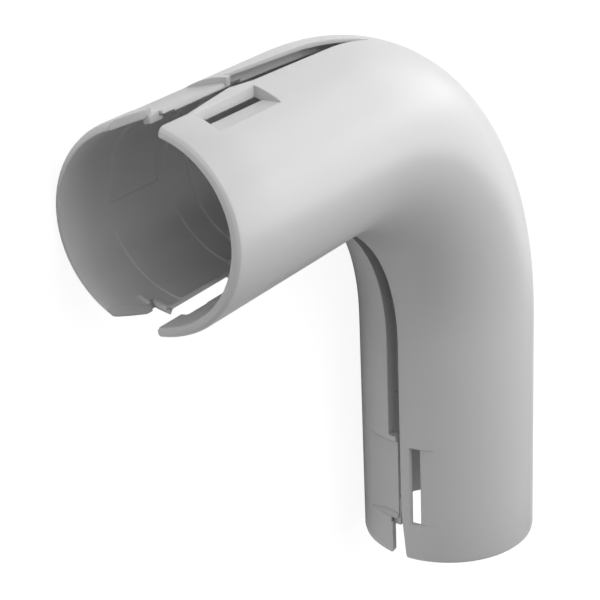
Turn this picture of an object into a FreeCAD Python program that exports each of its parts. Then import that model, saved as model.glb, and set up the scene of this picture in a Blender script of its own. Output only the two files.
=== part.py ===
# Clip-open elbow for 25 mm electrical conduit: one moulded piece, a 90 degree bend with a
# socket on each straight leg. A slit runs along the inside of the bend from mouth to mouth,
# and a second slit runs along the outside of each leg, so that the upper half can be sprung
# open over the cables. At each mouth the lower half carries a thin tongue in a flat recess,
# and the upper half carries the bar and window that catch it.
#
# The elbow lies flat: the leg axes are parallel to X and Y, and the origin is at the middle
# of the lowest line. In the sketches of a leg, "along" is the distance from its open end,
# "out" is the distance from its axis toward the outside of the bend, and "up" is the height
# above its axis.
import FreeCAD
import Part
import Sketcher
import math
import os

SIZES = [
    ("socket_radius", 12.64, "bore that takes the conduit"),
    ("wall", 1.66, "wall around the socket"),
    ("stop_height", 0.4, "step at the socket's end that stops the conduit"),
    ("bend_radius", 40.5, "centre line of the bend"),
    ("leg_length", 39.0, "straight length of each leg"),
    ("socket_depth", 27.1, "open end to the stop"),
    ("lip_round", 1.0, "rounding of the outer edge of an open end"),
    ("lip_bevel", 0.4, "bevel of the inner edge of an open end"),
    ("inner_slit_top", -1.2, "upper edge of the slit inside the bend"),
    ("inner_slit_bottom", -3.45, "lower edge of the slit inside the bend"),
    ("outer_slit_top", 1.9, "upper edge of the slit outside, at the latch"),
    ("outer_slit_bottom", -2.2, "lower edge of the slit outside, at the latch"),
    ("outer_slit_rise", 0.7, "rise of that upper edge behind the latch"),
    ("outer_slit_leg_top", 3.05, "upper edge of the slit outside, where the bend begins"),
    ("outer_slit_leg_bottom", -0.35, "lower edge of the slit outside, where the bend begins"),
    ("outer_slit_end_top", 3.15, "upper edge of the slit outside, at its end"),
    ("outer_slit_end_bottom", 2.9, "lower edge of the slit outside, at its end"),
    ("outer_slit_reach", 12.0, "how far the outer slit runs past the leg"),
    ("slit_lip", 0.65, "thickness left at the lower edge of the outer slit"),
    ("slit_rebate", 1.1, "height of the thinned stretch below that edge"),
    ("rebate_turn", 12.0, "degrees of the bend that the thinned stretch follows"),
    ("lead_outer_a", 1.4, "widening of the outer slit at the mouth of leg A"),
    ("lead_inner_a", 2.3, "widening of the inner slit at the mouth of leg A"),
    ("lead_length_a", 17.5, "length of that widening"),
    ("lead_flat_outer", 6.2, "length of the outer slit's full width on leg A"),
    ("lead_flat_inner", 9.0, "length of the inner slit's full width on leg A"),
    ("lead_b", 0.9, "widening of the slits at the mouth of leg B"),
    ("lead_length_b", 9.0, "length of that widening"),
    ("corner_outer_a", 2.0, "drop of the outer slit's lower edge at the mouth of leg A"),
    ("corner_inner_a", 2.4, "drop of the inner slit's lower edge at the mouth of leg A"),
    ("corner_length_a", 5.0, "length of that drop"),
    ("corner_b", 0.8, "drop of the lower edge at the mouth of leg B"),
    ("corner_length_b", 0.8, "length of that drop"),
    ("tongue_gap_inner", 0.8, "inner slit left above the tongue"),
    ("tongue_gap_outer", 2.9, "outer slit left above the tongue"),
    ("tongue_wedge", 0.4, "slope of the outer tongue's top, across its thickness"),
    ("band_drop_outer", 1.2, "outer tongue's top to the end band's top"),
    ("band_drop_inner_a", 2.2, "inner tongue's top to the end band's top on leg A"),
    ("band_drop_inner_b", 1.0, "inner tongue's top to the end band's top on leg B"),
    ("notch_start", 6.2, "open end to the notch beside the tongue"),
    ("notch_width", 1.0, "notch between end band and tongue"),
    ("notch_depth", 0.3, "depth of an inner notch below the end band"),
    ("notch_drop", 0.9, "depth of an outer notch below the tongue"),
    ("notch_slope", 1.5, "further drop of its sloping floor"),
    ("tongue_end", 22.2, "open end to the far end of the tongue"),
    ("recess_start", 7.2, "open end to the recess of the tongue"),
    ("recess_end", 21.2, "open end to the far end of the recess"),
    ("recess_depth", 0.8, "depth of the recess at the tongue's edge"),
    ("recess_width", 6.2, "width of the recess"),
    ("bar_width", 1.7, "bar between a slit and its window"),
    ("bar_thickness", 1.0, "thickness of the inner latch's bar at the slot"),
    ("window_start", 6.8, "open end to the window"),
    ("window_length", 14.0, "length of the window"),
    ("window_width", 4.1, "width of the window"),
    ("slot_width_outer", 1.3, "width of the opening through an outer window"),
    ("slot_width_inner", 1.6, "width of the opening through an inner window"),
    ("pocket_start", 5.2, "open end to the inner relief behind the bar"),
    ("pocket_end", 22.0, "open end to the far end of that relief"),
]

doc = FreeCAD.newDocument("conduit_elbow")
sheet = doc.addObject("Spreadsheet::Sheet", "sizes")
for row, (name, value, note) in enumerate(SIZES, start=1):
    sheet.set(f"A{row}", name)
    sheet.set(f"B{row}", str(value))
    sheet.set(f"C{row}", note)
    sheet.setAlias(f"B{row}", name)
doc.recompute()

body = doc.addObject("PartDesign::Body", "elbow")
body.Label = "elbow"

SOCKET = "sizes.socket_radius"
OUTER = f"({SOCKET} + sizes.wall)"
BORE = f"({SOCKET} - sizes.stop_height)"
BEND = "sizes.bend_radius"
LEG = "sizes.leg_length"
CORNER = f"({BEND} + {LEG} - {OUTER}) / 2"
CENTRE = f"({LEG} - {OUTER} - {BEND}) / 2"
MOUTH = f"-({BEND} + {LEG} + {OUTER}) / 2"
CLEAR = "1"
INSIDE = f"{SOCKET} / 2"
REBATE = "(sizes.outer_slit_leg_bottom - sizes.slit_rebate)"


def sketch_on(name, role, across, up, out):
    """Empty sketch parallel to an origin plane, its own origin moved by the three formulas."""
    sketch = body.newObject("Sketcher::SketchObject", name)
    plane = [item for item in body.Origin.OriginFeatures if item.Role == role][0]
    sketch.AttachmentSupport = [(plane, "")]
    sketch.MapMode = "FlatFace"
    sketch.setExpression("AttachmentOffset.Base.x", across)
    sketch.setExpression("AttachmentOffset.Base.y", up)
    sketch.setExpression("AttachmentOffset.Base.z", out)
    return sketch


def tie(sketch, kind, geometry, point, value, formula):
    number = sketch.addConstraint(Sketcher.Constraint(kind, -1, 1, geometry, point, value))
    sketch.setExpression(f"Constraints[{number}]", formula)


def outline(sketch, corners):
    """Closed outline of straight lines, each corner tied to its two formulas."""
    count = len(corners)
    first = sketch.GeometryCount
    spots = []
    for index in range(count):
        turn = 2 * math.pi * index / count
        spots.append(FreeCAD.Vector(10 * math.cos(turn), 10 * math.sin(turn), 0))
    for index in range(count):
        sketch.addGeometry(Part.LineSegment(spots[index], spots[(index + 1) % count]))
    for index, (across, up) in enumerate(corners):
        before = first + (index - 1) % count
        sketch.addConstraint(Sketcher.Constraint("Coincident", before, 2, first + index, 1))
        tie(sketch, "DistanceX", first + index, 1, spots[index].x, across)
        tie(sketch, "DistanceY", first + index, 1, spots[index].y, up)


def circle(sketch, across, radius):
    """Circle on the sketch's horizontal axis."""
    number = sketch.addGeometry(Part.Circle(FreeCAD.Vector(10, 0, 0), FreeCAD.Vector(0, 0, 1), 5))
    tie(sketch, "DistanceX", number, 3, 10, across)
    sketch.addConstraint(Sketcher.Constraint("PointOnObject", number, 3, -1))
    width = sketch.addConstraint(Sketcher.Constraint("Radius", number, 5))
    sketch.setExpression(f"Constraints[{width}]", radius)


def turned(kind, name, sketch, axis, angle, reverse=False):
    """Revolution or Groove of a sketch about one of its own axes."""
    feature = body.newObject(kind, name)
    feature.Profile = sketch
    feature.ReferenceAxis = (sketch, [axis])
    feature.Reversed = reverse
    feature.setExpression("Angle", angle)
    doc.recompute()
    return feature


def pocket(name, sketch, length, reverse):
    """Cut of the sketch's outline, which must take something away."""
    before = body.Shape.Volume
    feature = body.newObject("PartDesign::Pocket", name)
    feature.Profile = sketch
    feature.Reversed = reverse
    feature.setExpression("Length", length)
    doc.recompute()
    if not feature.Shape.Volume < before:
        raise ValueError(f"{name} cuts nothing")
    return feature


def side_cut(name, leg, start, length, outward, corners):
    """Cut across a leg: corners are (along, up), the cut begins at the distance out."""
    if leg == "a":
        sketch = sketch_on(name + "_sketch", "XZ_Plane", MOUTH, OUTER, f"-({CORNER} + {start})")
        outline(sketch, corners)
        return pocket(name, sketch, length, not outward)
    sketch = sketch_on(name + "_sketch", "YZ_Plane", MOUTH, OUTER, f"{CORNER} + {start}")
    outline(sketch, corners)
    return pocket(name, sketch, length, outward)


def along_cut(name, leg, start, length, corners):
    """Cut along a leg, toward the bend: corners are (out, up)."""
    if leg == "a":
        sketch = sketch_on(name + "_sketch", "YZ_Plane", CORNER, OUTER, f"{MOUTH} + {start}")
        outline(sketch, corners)
        return pocket(name, sketch, length, True)
    sketch = sketch_on(name + "_sketch", "XZ_Plane", CORNER, OUTER, f"-({MOUTH} + {start})")
    outline(sketch, corners)
    return pocket(name, sketch, length, False)


def passage(middle):
    """Round section of the passage behind the stops, as 40 short straight sides."""
    corners = []
    for number in range(40):
        turn = 9.0 * number
        corners.append((f"{middle} + {BORE} * cos({turn} deg)", f"{BORE} * sin({turn} deg)"))
    return corners


# The tube: the bend, then one turned leg each way, and the passage through each leg's end.
bend_sketch = sketch_on("bend_sketch", "XZ_Plane", CENTRE, OUTER, f"-({CENTRE})")
circle(bend_sketch, BEND, OUTER)
outline(bend_sketch, passage(BEND))
turned("PartDesign::Revolution", "bend", bend_sketch, "V_Axis", "90")

LEG_WALL = [
    ("0", f"{SOCKET} + sizes.lip_bevel"),
    ("0", f"{OUTER} - sizes.lip_round"),
    ("0.134 * sizes.lip_round", f"{OUTER} - 0.5 * sizes.lip_round"),
    ("0.5 * sizes.lip_round", f"{OUTER} - 0.134 * sizes.lip_round"),
    ("sizes.lip_round", OUTER),
    (LEG, OUTER),
    (LEG, INSIDE),
    ("sizes.socket_depth", INSIDE),
    ("sizes.socket_depth", SOCKET),
    ("sizes.lip_bevel", SOCKET),
]
leg_a_sketch = sketch_on("leg_a_sketch", "XY_Plane", MOUTH, CORNER, OUTER)
outline(leg_a_sketch, LEG_WALL)
turned("PartDesign::Revolution", "leg_a", leg_a_sketch, "H_Axis", "360")
leg_b_sketch = sketch_on("leg_b_sketch", "XY_Plane", CORNER, MOUTH, OUTER)
outline(leg_b_sketch, [(out, along) for along, out in LEG_WALL])
turned("PartDesign::Revolution", "leg_b", leg_b_sketch, "V_Axis", "360")

for leg in ("a", "b"):
    along_cut(f"passage_{leg}", leg, "sizes.socket_depth", f"{LEG} - sizes.socket_depth", passage("0"))

# The inner slit follows the bend at one height.
slit_sketch = sketch_on("inner_slit_bend_sketch", "XZ_Plane", CENTRE, OUTER, f"-({CENTRE})")
outline(slit_sketch, [
    (f"{BEND} - {OUTER} - {CLEAR}", "sizes.inner_slit_bottom"),
    (f"{BEND} - {INSIDE}", "sizes.inner_slit_bottom"),
    (f"{BEND} - {INSIDE}", "sizes.inner_slit_top"),
    (f"{BEND} - {OUTER} - {CLEAR}", "sizes.inner_slit_top"),
])
turned("PartDesign::Groove", "inner_slit_bend", slit_sketch, "V_Axis", "90")

# The wall below the outer slit is thinned from inside, at both ends of the bend.
for leg, role, out in (("a", "YZ_Plane", CENTRE), ("b", "XZ_Plane", f"-({CENTRE})")):
    rebate_sketch = sketch_on(f"rebate_bend_{leg}_sketch", role, CENTRE, OUTER, out)
    outline(rebate_sketch, [
        (f"{BEND} + {INSIDE}", REBATE),
        (f"{BEND} + {OUTER} - sizes.slit_lip", REBATE),
        (f"{BEND} + {OUTER} - sizes.slit_lip", "sizes.outer_slit_end_top"),
        (f"{BEND} + {INSIDE}", "sizes.outer_slit_end_top"),
    ])
    turned("PartDesign::Groove", f"rebate_bend_{leg}", rebate_sketch, "V_Axis",
           "sizes.rebate_turn", leg == "a")


def latch(leg, side):
    """Slit, recess and window on one side of a leg: side is 1 outside the bend, -1 inside."""
    place = "outer" if side > 0 else "inner"
    name = f"{place}_{leg}"
    top, bottom = f"sizes.{place}_slit_top", f"sizes.{place}_slit_bottom"
    tongue = f"({top} - sizes.tongue_gap_{place})"
    lead_length, corner_length = f"sizes.lead_length_{leg}", f"sizes.corner_length_{leg}"
    lead = f"sizes.lead_{place}_a" if leg == "a" else "sizes.lead_b"
    corner = f"sizes.corner_{place}_a" if leg == "a" else "sizes.corner_b"
    drop = "sizes.band_drop_outer" if side > 0 else f"sizes.band_drop_inner_{leg}"
    band = f"({tongue} - {drop})"
    notch_end = "(sizes.notch_start + sizes.notch_width)"
    outside = f"{side} * ({OUTER} + {CLEAR})"
    wall = f"{OUTER} + {CLEAR} - {INSIDE}"

    full_width = f"sizes.lead_flat_{place}" if leg == "a" else "0"
    corners = [(f"-{CLEAR}", f"{top} + {lead}"), (full_width, f"{top} + {lead}"), (lead_length, top)]
    if side > 0:
        far = f"{LEG} + sizes.outer_slit_reach"
        corners += [
            ("sizes.tongue_end", f"{top} + sizes.outer_slit_rise"),
            (LEG, "sizes.outer_slit_leg_top"),
            (far, "sizes.outer_slit_end_top"),
            (far, "sizes.outer_slit_end_bottom"),
            (LEG, "sizes.outer_slit_leg_bottom"),
            ("sizes.tongue_end", bottom),
            ("sizes.tongue_end", tongue),
            ("sizes.notch_start", tongue),
        ]
    else:
        corners += [
            (LEG, top),
            (LEG, bottom),
            ("sizes.tongue_end", bottom),
            ("sizes.tongue_end", tongue),
            (notch_end, tongue),
            (notch_end, f"{band} - sizes.notch_depth"),
            ("sizes.notch_start", f"{band} - sizes.notch_depth"),
        ]
    side_cut(f"slit_{name}", leg, outside, wall, side < 0, corners + [
        ("sizes.notch_start", band),
        (corner_length, band),
        ("0", f"{band} - {corner}"),
        (f"-{CLEAR}", f"{band} - {corner}"),
    ])

    floor = f"{side} * ({OUTER} - sizes.recess_depth)"
    edge = f"({tongue} - sizes.tongue_wedge)" if side > 0 else tongue
    low = f"({edge} - sizes.recess_width)"
    low_out = f"{side} * sqrt(pow({OUTER}; 2) - pow({low}; 2))"
    corners = [(low_out, low), (floor, edge), (outside, edge), (outside, low)]
    start = "sizes.recess_start"
    if side > 0:
        start = "sizes.notch_start"
        corners[2:3] = [(f"{SOCKET} - 0.1", tongue), (outside, tongue)]
    along_cut(f"recess_{name}", leg, start, f"sizes.recess_end - {start}", corners)
    if side > 0:
        notch = f"({tongue} - sizes.notch_drop)"
        along_cut(f"notch_{name}", leg, start, "sizes.notch_width", [
            (f"{SOCKET} - 0.2", f"{tongue} + 0.5"),
            (f"{SOCKET} - 0.2", notch),
            (f"{SOCKET} + 0.4", notch),
            (f"{SOCKET} + 1.0", f"{notch} - sizes.notch_slope"),
            (outside, f"{notch} - sizes.notch_slope"),
            (outside, f"{tongue} + 0.5"),
        ])

    near = f"({top} + sizes.bar_width)"
    window_end = "sizes.window_start + sizes.window_length"
    window_far = f"({near} + sizes.window_width)"
    slot = f"({near} + sizes.slot_width_{place})"
    depth = f"{OUTER} + {CLEAR} - sqrt(pow({OUTER}; 2) - pow({window_far}; 2))"
    side_cut(f"window_{name}", leg, outside, depth, side < 0, [
        ("sizes.window_start", near),
        (window_end, near),
        (window_end, window_far),
        ("sizes.window_start", window_far),
    ])
    side_cut(f"slot_{name}", leg, outside, wall, side < 0, [
        ("sizes.window_start", near),
        (window_end, near),
        (window_end, slot),
        ("sizes.window_start", slot),
    ])
    if side > 0:
        inner_face = f"{OUTER} - sizes.slit_lip - {INSIDE}"
        side_cut(f"rebate_{name}", leg, INSIDE, inner_face, True, [
            ("sizes.tongue_end", bottom),
            (LEG, "sizes.outer_slit_leg_bottom"),
            (LEG, REBATE),
            ("sizes.tongue_end", f"{bottom} - sizes.slit_rebate"),
        ])
    else:
        side_cut(f"relief_{name}", leg, f"-{INSIDE}",
                 f"{OUTER} - sizes.bar_thickness - {INSIDE}", False, [
                     ("sizes.pocket_start", tongue),
                     ("sizes.pocket_end", tongue),
                     ("sizes.pocket_end", slot),
                     ("sizes.pocket_start", slot),
                 ])


for leg in ("a", "b"):
    for side in (1, -1):
        latch(leg, side)

doc.recompute()
for item in doc.Objects:
    if "Invalid" in item.State or "Error" in item.State:
        raise ValueError(f"{item.Name} failed: {item.State}")
if body.Shape.isNull() or not body.Shape.isValid():
    raise ValueError("the elbow's shape is not valid")
if len(body.Shape.Solids) != 1:
    raise ValueError(f"the elbow has {len(body.Shape.Solids)} solids")
box = body.Shape.BoundBox
print(f"elbow: volume {body.Shape.Volume:.0f} mm3, faces {len(body.Shape.Faces)}")
print(f"box {box.XMin:.2f} {box.XMax:.2f}, {box.YMin:.2f} {box.YMax:.2f}, {box.ZMin:.2f} {box.ZMax:.2f}")
os.makedirs("parts", exist_ok=True)
body.Shape.exportStep("parts/elbow.step")
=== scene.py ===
# Clip-open elbow for electrical conduit, lying flat on a white floor. All lengths are in metres,
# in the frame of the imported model: legs parallel to X and Y, +Z up from the floor.
import math

import bmesh
import bpy
import numpy as np
from mathutils import Matrix, Vector


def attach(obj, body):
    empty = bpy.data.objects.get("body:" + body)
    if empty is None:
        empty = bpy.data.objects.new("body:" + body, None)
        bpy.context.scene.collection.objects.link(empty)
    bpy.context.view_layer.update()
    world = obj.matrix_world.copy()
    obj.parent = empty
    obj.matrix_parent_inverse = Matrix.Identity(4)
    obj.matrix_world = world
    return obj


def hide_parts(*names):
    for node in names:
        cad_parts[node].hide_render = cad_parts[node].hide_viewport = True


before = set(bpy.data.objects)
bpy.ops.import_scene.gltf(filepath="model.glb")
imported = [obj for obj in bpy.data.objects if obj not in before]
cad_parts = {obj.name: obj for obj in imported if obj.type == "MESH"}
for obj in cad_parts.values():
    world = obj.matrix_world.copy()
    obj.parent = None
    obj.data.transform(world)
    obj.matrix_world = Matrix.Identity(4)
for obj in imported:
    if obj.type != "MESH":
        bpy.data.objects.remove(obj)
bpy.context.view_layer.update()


# The elbow: one moulding in light grey plastic, from a tool with a fine spark-eroded finish.
# The surface is satin, a little uneven in gloss, with the faint waves of a cooled wall, and its
# cut edges are slightly round, as they come out of the tool.
class Link:
    """A node's output that takes part in arithmetic: each operator adds one Math node."""

    def __init__(self, tree, socket):
        self.tree = tree
        self.socket = socket

    def feed(self, place):
        """Links the output to a node's input."""
        self.tree.links.new(self.socket, place)

    def math(self, operation, *values):
        """Adds a Math node on the values, each of them a link or a number."""
        node = self.tree.nodes.new("ShaderNodeMath")
        node.operation = operation
        for place, value in zip(node.inputs, values):
            if isinstance(value, Link):
                value.feed(place)
            else:
                place.default_value = value
        return Link(self.tree, node.outputs[0])

    def __add__(self, other):
        return self.math("ADD", self, other)

    __radd__ = __add__

    def __mul__(self, other):
        return self.math("MULTIPLY", self, other)

    __rmul__ = __mul__


class Finish:
    """The nodes of a material or of the world, added one by one with settings and inputs."""

    def __init__(self, owner):
        self.owner = owner
        owner.use_nodes = True
        self.tree = owner.node_tree
        self.tree.nodes.clear()

    def node(self, kind, settings=None, output=0, **inputs):
        """Adds a node. An input's name is written with underscores for its spaces."""
        node = self.tree.nodes.new(kind)
        for name, value in (settings or {}).items():
            setattr(node, name, value)
        for name, value in inputs.items():
            place = node.inputs[name.replace("_", " ")]
            if isinstance(value, Link):
                value.feed(place)
            else:
                place.default_value = value
        return Link(self.tree, node.outputs[output])

    def blend(self, factor, *colours):
        """Colour that goes from the first to the second as the factor goes from 0 to 1."""
        colour_inputs, colour_output = (6, 7), 2
        settings = {"data_type": "RGBA"}
        mix = self.node("ShaderNodeMix", settings, output=colour_output, Factor=factor)
        for number, colour in zip(colour_inputs, colours):
            mix.socket.node.inputs[number].default_value = (*colour, 1)
        return mix

    def join(self, kind, *shaders, **inputs):
        """Adds a node that takes the given shaders as its last inputs."""
        joined = self.node(kind, **inputs)
        for place, shader in zip(list(joined.socket.node.inputs)[-len(shaders):], shaders):
            shader.feed(place)
        return joined

    def by_viewer(self, lighting, seen):
        """Shader that lights the other things in one way and shows the camera another."""
        camera_ray = self.node("ShaderNodeLightPath", output="Is Camera Ray")
        return self.join("ShaderNodeMixShader", lighting, seen, Fac=camera_ray)

    def show(self, shader, output="ShaderNodeOutputMaterial"):
        """Puts the shader on the surface and returns the material or the world."""
        shader.feed(self.tree.nodes.new(output).inputs["Surface"])
        return self.owner


def moulded_plastic(name, colour, waves=18.0, grain=5200.0, edge=0.00028):
    """Satin plastic: colour and gloss drift with slow noise, the grain is a fine bump."""
    darker, lighter = 0.965, 1.035
    smoothest, cloud_share, speck_share = 0.26, 0.08, 0.04
    finish = Finish(bpy.data.materials.new(name))
    place = finish.node("ShaderNodeTexCoord", output="Object")
    drift = finish.node("ShaderNodeTexNoise", Vector=place, Scale=waves, Detail=2.0)
    cloud = finish.node("ShaderNodeTexNoise", Vector=place, Scale=waves * 9, Detail=3.0)
    speck = finish.node("ShaderNodeTexNoise", Vector=place, Scale=grain, Detail=2.0)
    tint = finish.blend(
        0.6 * drift + 0.4 * speck,
        [darker * value for value in colour],
        [lighter * value for value in colour],
    )
    rough = smoothest + cloud_share * cloud + speck_share * speck
    soft_edge = finish.node("ShaderNodeBevel", {"samples": 6}, Radius=edge)
    coarse = finish.node(
        "ShaderNodeBump", Height=drift, Normal=soft_edge, Strength=0.12, Distance=0.0008
    )
    fine = finish.node(
        "ShaderNodeBump", Height=speck, Normal=coarse, Strength=0.15, Distance=0.00005
    )
    shader = finish.node(
        "ShaderNodeBsdfPrincipled", Base_Color=tint, Roughness=rough, Normal=fine,
        IOR=1.49, Specular_IOR_Level=0.5,
    )
    return finish.show(shader)


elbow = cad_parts["elbow"]
light_grey = (0.60, 0.60, 0.60)
plastic = moulded_plastic("elbow_plastic", light_grey)
sharp_from = math.radians(25)

# The radii are those of the bore, of the part of the wall that stays, and of the passage behind
# the stop. Each step has its distance from the mouth and its widening. The slits' heights above
# the axis part the two halves.
bore, unmoved, passage = 0.01264, 0.01348, 0.01224
mouth, axis_offset, axis_height = -0.0469, 0.0326, 0.0143
steps = ((0.0096, 0.00050), (0.0226, 0.00028))
step_slope = 0.00003
inner_slit, outer_slit, upper_share = -0.0016, 0.0004, 0.4


def stepped_sockets(points):
    """Each socket widens toward its mouth in two steps, and its wall gets thinner with it.

    A point's distance from the leg's axis grows by the widening at its place along the leg,
    in full at the bore and in proportion less toward the outer part of the wall, with its
    recesses and windows, which stays as it is. The half above the slits widens less.
    """
    points = points.copy()
    for axis in (0, 1):
        along = points[:, axis] - mouth
        out = points[:, 1 - axis] - axis_offset
        up = points[:, 2] - axis_height
        radius = np.hypot(out, up)
        widening = np.zeros(len(points))
        for place, amount in reversed(steps):
            widening = np.where(along < place + step_slope / 2, amount, widening)
        share = np.clip((unmoved - radius) / (unmoved - bore), 0, 1)
        share *= np.where(up > np.where(out < 0, inner_slit, outer_slit), upper_share, 1)
        growth = 1 + widening * share / np.maximum(radius, passage)
        points[:, 1 - axis] = axis_offset + out * growth
        points[:, 2] = axis_height + up * growth
    return points


def trimmed(mesh, *sides):
    """The mesh less an upright block, whose sides are given as a range on each axis."""
    corners = [(x, y, z) for z in sides[2] for y in sides[1] for x in sides[0]]
    faces = [
        (0, 2, 3, 1), (4, 5, 7, 6), (0, 1, 5, 4), (2, 6, 7, 3), (0, 4, 6, 2), (1, 3, 7, 5)
    ]
    block_mesh = bpy.data.meshes.new("trim_block")
    block_mesh.from_pydata(corners, [], faces)
    pair = [bpy.data.objects.new(data.name, data) for data in (mesh, block_mesh)]
    for item in pair:
        bpy.context.scene.collection.objects.link(item)
    trim = pair[0].modifiers.new("trim", "BOOLEAN")
    trim.operation, trim.solver, trim.object = "DIFFERENCE", "EXACT", pair[1]
    evaluated = pair[0].evaluated_get(bpy.context.evaluated_depsgraph_get())
    result = bpy.data.meshes.new_from_object(evaluated)
    for item in pair:
        bpy.data.objects.remove(item)
    return result


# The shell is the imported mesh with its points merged. Leg A's inner latch loses its bar, then
# the mesh is cut into rings at the steps, so that its points can move apart there.
weld_distance = 0.000002
form = bmesh.new()
form.from_mesh(elbow.data)
bmesh.ops.remove_doubles(form, verts=form.verts, dist=weld_distance)
whole_mesh = bpy.data.meshes.new("elbow_whole")
form.to_mesh(whole_mesh)
form.free()
bar_along, bar_out, bar_up = (0.0089, 0.0209), (-0.0150, -0.0118), (-0.0016, 0.0006)
form = bmesh.new()
form.from_mesh(trimmed(
    whole_mesh,
    [mouth + value for value in bar_along],
    [axis_offset + value for value in bar_out],
    [axis_height + value for value in bar_up],
))
for axis in (0, 1):
    for place, amount in steps:
        for offset in (0, step_slope):
            spot, normal = Vector(), Vector()
            spot[axis], normal[axis] = mouth + place + offset, 1
            everything = form.verts[:] + form.edges[:] + form.faces[:]
            bmesh.ops.bisect_plane(form, geom=everything, plane_co=spot, plane_no=normal)
shell_mesh = bpy.data.meshes.new("elbow_shell")
form.to_mesh(shell_mesh)
form.free()
points = np.empty(3 * len(shell_mesh.vertices))
shell_mesh.vertices.foreach_get("co", points)
shell_mesh.vertices.foreach_set("co", stepped_sockets(points.reshape(-1, 3)).ravel())
if "custom_normal" in shell_mesh.attributes:
    shell_mesh.attributes.remove(shell_mesh.attributes["custom_normal"])
shell_mesh.polygons.foreach_set("use_smooth", np.ones(len(shell_mesh.polygons), bool))
shell_mesh.set_sharp_from_angle(angle=sharp_from)
shell_mesh.materials.append(plastic)
shell = bpy.data.objects.new("elbow_shell", shell_mesh)
bpy.context.scene.collection.objects.link(shell)
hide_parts("elbow")
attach(shell, "root")


# Low relief in the sockets: a bare panel with a raised line at its end, a small ledge at each
# notch, and a foot at the mouth end of each inner tongue. They are moulded with the wall they
# are on, so they share its plastic and sink a little into it.
def moulded_piece(name, leg, along, out, up, faces):
    """A closed piece of the moulding, with its points given in a leg's own measures.

    They are the distance from the mouth, and the distances from the leg's axis toward the
    outside of the bend and upward. Leg A lies along X, leg B along Y.
    """
    points = [mouth + along, axis_offset + out, axis_height + up]
    if leg == "b":
        points = [points[1], points[0], points[2]]
    rows = np.stack([value.ravel() for value in np.broadcast_arrays(*points)], -1)
    mesh = bpy.data.meshes.new(name)
    mesh.from_pydata(rows.tolist(), [], faces)
    form = bmesh.new()
    form.from_mesh(mesh)
    bmesh.ops.recalc_face_normals(form, faces=form.faces)
    form.to_mesh(mesh)
    form.free()
    mesh.polygons.foreach_set("use_smooth", np.ones(len(mesh.polygons), bool))
    mesh.materials.append(plastic)
    piece = bpy.data.objects.new(name, mesh)
    bpy.context.scene.collection.objects.link(piece)
    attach(piece, "root")
    return piece


def socket_relief(name, leg, along, turn, wall, height, squareness, sunk=0.00008):
    """A rounded pad bent round the bore, from along[0] to along[1] and from turn[0] to turn[1].

    Both ways it is a superellipse: across, the half width and the height are powers of a
    cosine and a sine, and both shrink to nothing toward the ends of the turn. The radius is
    the wall's, less the height.
    """
    narrow, lengthwise = squareness
    rounds, lengths = 24, max(24, int(abs(turn[1] - turn[0])))
    section = np.linspace(0, 2 * np.pi, rounds, endpoint=False)
    travel = np.sin(np.linspace(-np.pi / 2, np.pi / 2, lengths + 1)[1:-1])[:, None]

    def bulge(value):
        return np.sign(value) * np.abs(value) ** (2 / narrow)

    shrink = (1 - np.abs(travel) ** lengthwise) ** (1 / lengthwise)
    middle, half_width = sum(along) / 2, (along[1] - along[0]) / 2
    centre, half_turn = np.radians(sum(turn) / 2), np.radians(turn[1] - turn[0]) / 2
    place = middle + half_width * shrink * bulge(np.cos(section))[None, :]
    rise = shrink * bulge(np.sin(section))[None, :]
    angle = np.broadcast_to(centre + half_turn * travel, place.shape)
    place = np.concatenate([[middle], place.ravel(), [middle]])
    rise = np.concatenate([[0], rise.ravel(), [0]])
    angle = np.concatenate([[centre - half_turn], angle.ravel(), [centre + half_turn]])
    radius = wall - np.where(rise > 0, height, sunk) * rise

    row, column = np.meshgrid(np.arange(lengths - 2), np.arange(rounds), indexing="ij")
    corner, following = row * rounds + column, row * rounds + (column + 1) % rounds
    walls = np.stack([corner, following, following + rounds, corner + rounds], -1) + 1
    ring = np.arange(rounds)
    beside = (ring + 1) % rounds
    last = (lengths - 2) * rounds + 1
    start = np.stack([np.zeros_like(ring), beside + 1, ring + 1], -1)
    end = np.stack([np.full_like(ring, last + rounds), ring + last, beside + last], -1)
    faces = walls.reshape(-1, 4).tolist() + start.tolist() + end.tolist()
    moulded_piece(name, leg, place, radius * np.cos(angle), radius * np.sin(angle), faces)


# Each has its place along the leg, its turn in degrees, the wall's radius, its height, how square
# it is across and along, and how far it sinks in, where that differs.
mouth_wall, middle_wall = (bore + amount for place, amount in steps)
relief = {
    "panel_line": ((0.0205, 0.0208), (-40, -96), middle_wall, 0.00014, (3, 8)),
    "panel": ((0.0098, 0.0205), (-40, -96), middle_wall, 0.00009, (20, 40)),
    "ledge_outer": ((0.0052, 0.0080), (-7.6, -13), mouth_wall, 0.00080, (12, 12), 0.00040),
    "ledge_inner": ((0.0052, 0.0059), (-153, -162), mouth_wall, 0.00050, (4, 4)),
}
for leg in ("a", "b"):
    for part, sizes in relief.items():
        socket_relief(f"socket_{leg}_{part}", leg, *sizes)
foot_sizes = 0.01350, 0.00060, (14, 14), 0.00002
feet = {
    "a": ((0.0064, 0.0075), (-160.5, -171.0)),
    "b": ((0.0057, 0.0108), (-165.0, -172.6)),
}
for leg, place in feet.items():
    socket_relief(f"tongue_{leg}_foot", leg, *place, *foot_sizes)


# The recess of each inner tongue ends toward the mouth in a short ramp, which rises from the
# recess's floor to the outside of the tube. It is part of the moulding.
tube_radius, recess_wall = 0.0143, 0.0072
recess_edge, recess_low, recess_floor = -0.0020, -0.0082, 0.0135


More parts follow.
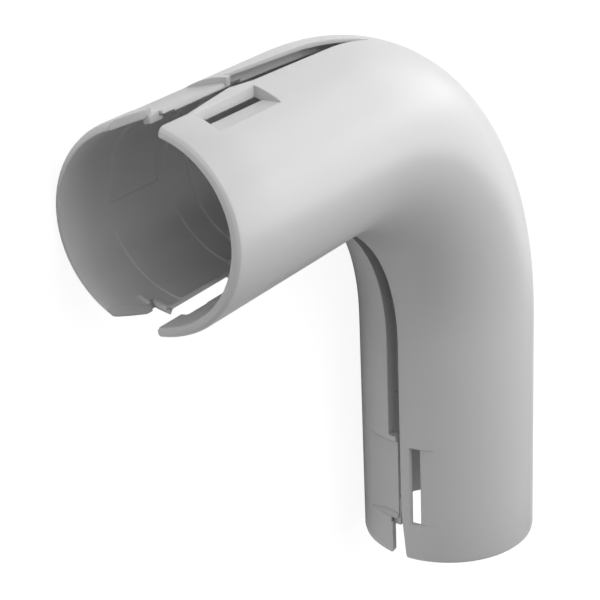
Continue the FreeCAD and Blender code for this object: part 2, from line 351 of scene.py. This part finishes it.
def recess_ramp(name, leg, count=32, sunk=0.00005):
    """A sliver with three edges, from the recess's low end up to the tongue's edge.

    Across, at each height, it is a triangle: its first edge is on the tube at the recess's
    wall, the second under the floor there, and the third as far up the leg as the ramp is
    high.
    """
    height = np.linspace(recess_low + 2 * sunk, recess_edge - sunk, count)
    tube = np.sqrt(tube_radius ** 2 - height ** 2)
    low_out = np.sqrt(tube_radius ** 2 - recess_low ** 2)
    share = (height - recess_low) / (recess_edge - recess_low)
    floor = low_out + share * (recess_floor - low_out)
    back = np.full(count, recess_wall - sunk)
    along = np.stack([back, back, recess_wall + (tube - floor)])
    out = -np.stack([tube, floor - sunk, floor - sunk])
    first = np.arange(count - 1)
    faces = [[0, count, 2 * count], [3 * count - 1, 2 * count - 1, count - 1]]
    for edge in range(3):
        start, end = first + edge * count, first + (edge + 1) % 3 * count
        faces += np.stack([start, start + 1, end + 1, end], -1).tolist()
    piece = moulded_piece(name, leg, along, out, height, faces)
    piece.data.set_sharp_from_angle(angle=sharp_from)


for leg in ("a", "b"):
    recess_ramp(f"recess_{leg}_ramp", leg)


# The room: a wide white floor that keeps a faint shadow of the elbow, and soft lamps. The
# elbow's outer side, which is on top in the photograph, faces the brighter ones. The camera
# sees the floor and the world behind it as paper white, brighter than they light the elbow.
def grey(level):
    """Colour without a hue, of one level from black to white."""
    return (level, level, level, 1)


floor_size, floor_grey, shadow_grey, floor_glow = 6.0, 0.9, 0.16, 0.92
world_light, world_seen = 0.19, 1.0
bpy.ops.mesh.primitive_plane_add(size=floor_size, location=(0, 0, 0))
floor = bpy.context.object
floor.name = "floor"
paper = Finish(bpy.data.materials.new("white_paper"))
lit = paper.node("ShaderNodeBsdfDiffuse", Color=grey(floor_grey))
pale = paper.node("ShaderNodeBsdfDiffuse", Color=grey(shadow_grey))
glow = paper.node("ShaderNodeEmission", Color=grey(1), Strength=floor_glow)
seen = paper.join("ShaderNodeAddShader", pale, glow)
floor.data.materials.append(paper.show(paper.by_viewer(lit, seen)))

studio = Finish(bpy.data.worlds.new("studio"))
dim, white = [
    studio.node("ShaderNodeBackground", Color=grey(1), Strength=strength)
    for strength in (world_light, world_seen)
]
bpy.context.scene.world = studio.show(studio.by_viewer(dim, white), "ShaderNodeOutputWorld")

elbow_middle = Vector((0.0, 0.0, 0.0143))


def soft_lamp(name, direction, power, width=0.6, distance=1.0):
    """Square lamp at a distance from the elbow in one direction, and turned toward it."""
    data = bpy.data.lights.new(name, "AREA")
    data.size = width
    data.energy = power
    lamp = bpy.data.objects.new(name, data)
    lamp.location = elbow_middle + Vector(direction).normalized() * distance
    lamp.rotation_euler = (elbow_middle - lamp.location).to_track_quat("-Z", "Y").to_euler()
    bpy.context.scene.collection.objects.link(lamp)


near = {"width": 0.25, "distance": 0.4}
soft_lamp("near_outer_side", (0.10, 0.70, 0.70), 0.52, **near)
soft_lamp("near_bend_side", (0.87, 0.40, 0.30), 0.34, **near)
soft_lamp("near_bend_high", (0.64, 0.05, 0.77), 0.37, **near)
soft_lamp("near_mouth_high", (-0.45, 0.75, 0.48), 0.19, **near)
soft_lamp("above", (0.02, 0.18, 0.98), 2.4)
soft_lamp("leg_b_side", (0.95, -0.05, 0.30), 1.38)
soft_lamp("mouth_side", (-0.96, -0.10, 0.25), 0.45)


# The camera stands where the photograph was taken from. Leg A comes out of the picture to the
# left and leg B hangs down in it, so the camera is turned on its side above the floor.
eye = Vector((-0.2261, 0.1136, 0.1520))
turn, pitch, roll = 1.0, 0.384, -0.042
focal_pixels, frame_pixels, sensor, nearest = 1926.7, 600, 36.0, 0.01
sight = Vector((
    math.cos(pitch) * math.sin(turn), -math.sin(pitch), -math.cos(pitch) * math.cos(turn)
))
right = Vector((math.cos(turn), 0, math.sin(turn)))
down = Vector((
    -math.sin(pitch) * math.sin(turn), -math.cos(pitch), math.sin(pitch) * math.cos(turn)
))
across = right * math.cos(roll) - down * math.sin(roll)
upward = -(right * math.sin(roll) + down * math.cos(roll))
camera_data = bpy.data.cameras.new("camera")
camera_data.sensor_width = sensor
camera_data.lens = focal_pixels / frame_pixels * sensor
camera_data.clip_start = nearest
camera = bpy.data.objects.new("camera", camera_data)
bpy.context.scene.collection.objects.link(camera)
facing = Matrix((across, upward, -sight)).transposed().to_4x4()
camera.matrix_world = Matrix.Translation(eye) @ facing
bpy.context.scene.camera = camera
bpy.context.scene.view_settings.view_transform = "Standard"
